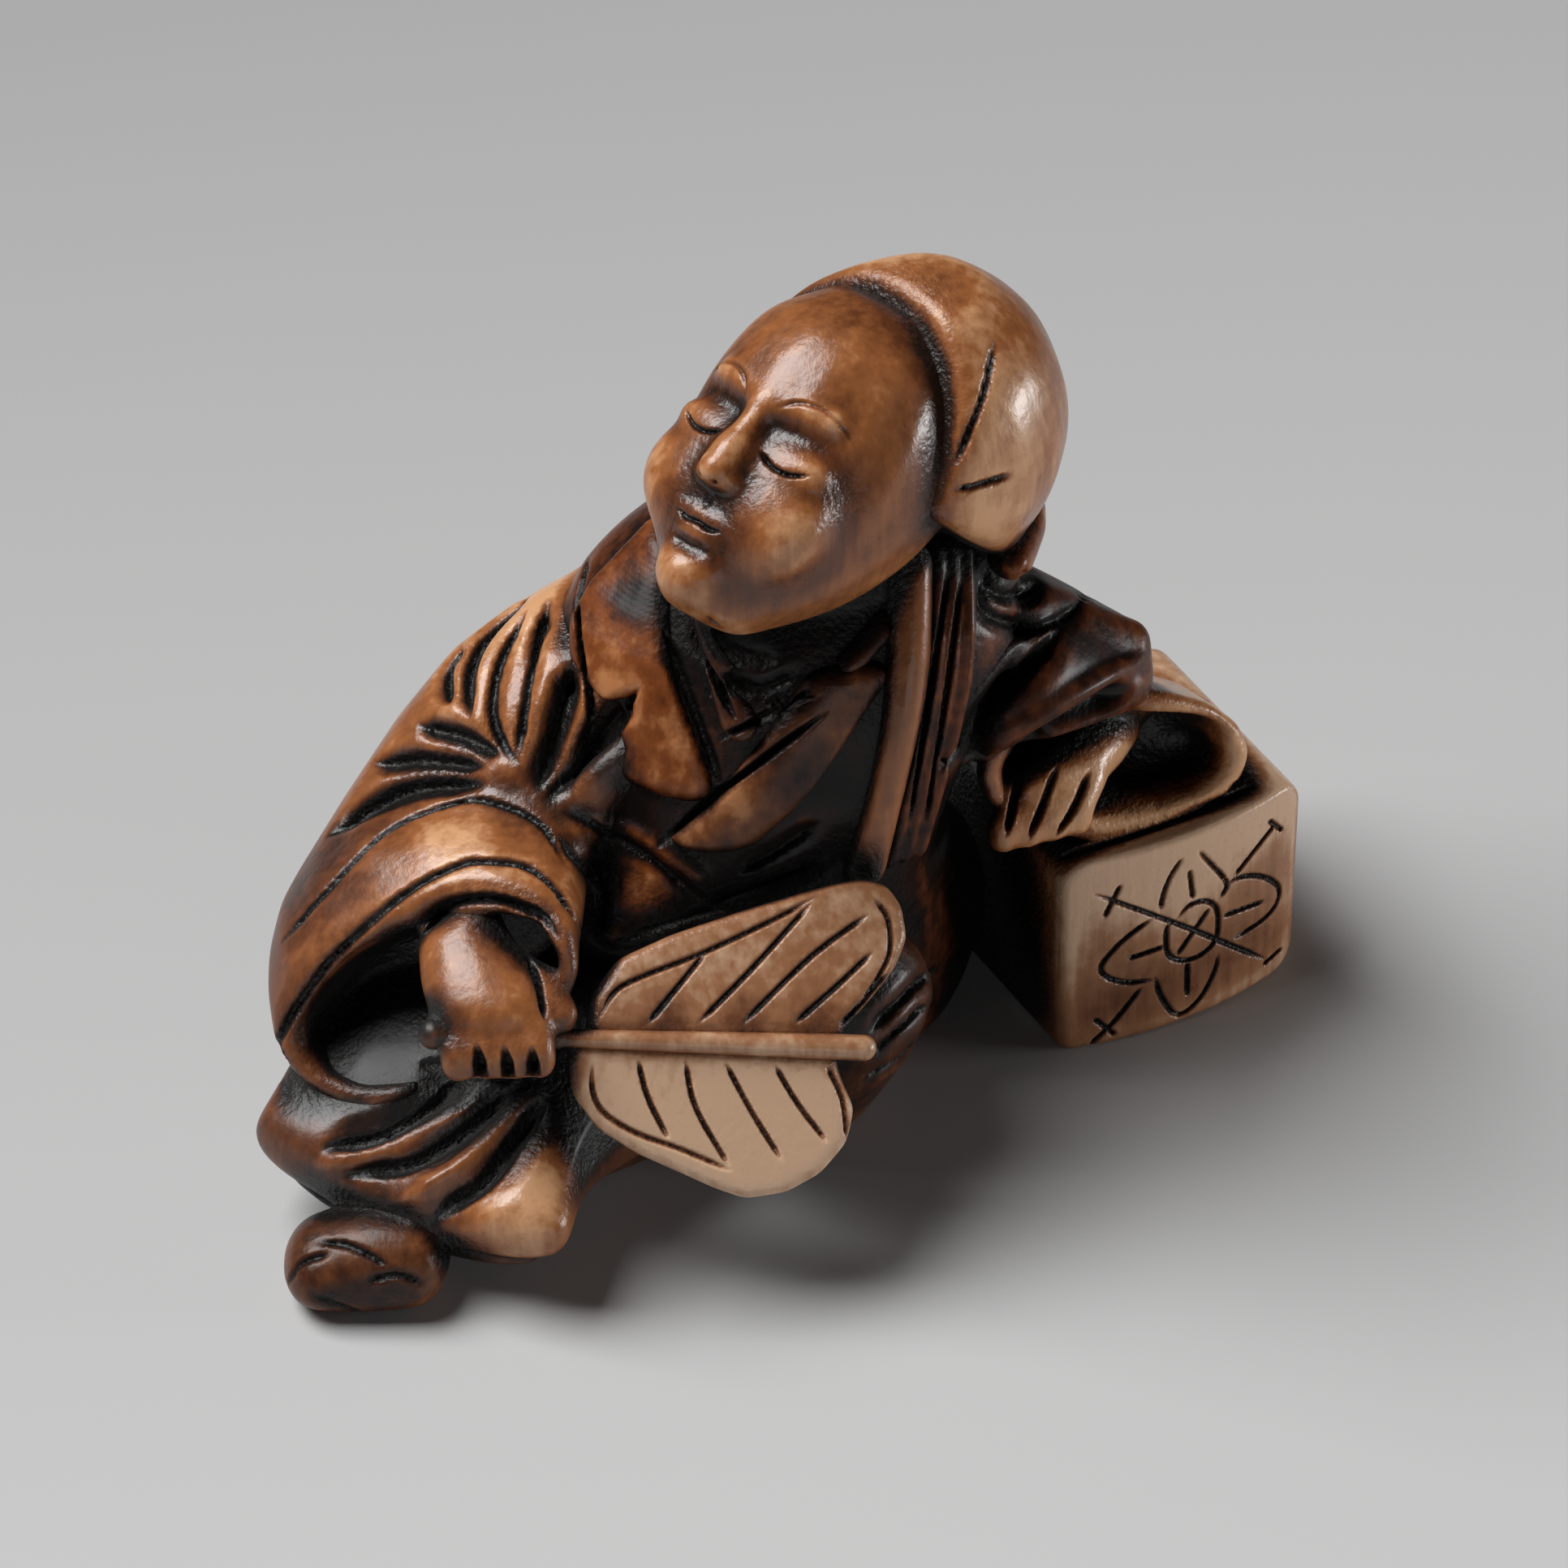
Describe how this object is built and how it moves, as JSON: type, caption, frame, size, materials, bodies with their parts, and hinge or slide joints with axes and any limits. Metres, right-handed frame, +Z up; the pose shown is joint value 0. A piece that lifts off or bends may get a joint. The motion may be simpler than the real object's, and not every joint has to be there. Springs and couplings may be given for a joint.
{
  "type": "wooden netsuke",
  "caption": "Carved wooden netsuke of a seated robed figure in a hood, leaning on a box armrest and holding a leaf fan, with a sloping cord hole under the back.",
  "frame": {"origin": "a point on the flat base under the front of the robe, on the table", "axes": "+Z up from the table, +X to the figure's left (the armrest's side), +Y to the figure's back"},
  "size_m": [0.0411, 0.0301, 0.0358],
  "materials": {
    "wood": "polished, stained in the recesses",
    "dark wood": "stained and polished",
    "pale wood": "polished, rubbed pale on the high spots"
  },
  "bodies": {
    "root": {"robe_body": "wood", "robe_skirt": "wood", "under_robe": "dark wood", "foot": "dark wood", "left_knee": "dark wood", "right_front": "wood", "left_front": "dark wood", "right_collar": "dark wood", "left_collar": "dark wood", "lapel_roll": "pale wood", "lapel_pleats": "wood", "shoulder_cape": "wood", "left_sleeve": "pale wood", "left_hand": "pale wood", "right_sleeve": "pale wood", "right_hand": "pale wood", "fan_stick": "pale wood", "fan_upper_leaf": "pale wood", "fan_lower_leaf": "pale wood", "armrest": "pale wood", "head": "pale wood", "hood": "pale wood", "hood_roll": "wood"}
  },
  "joints": []
}
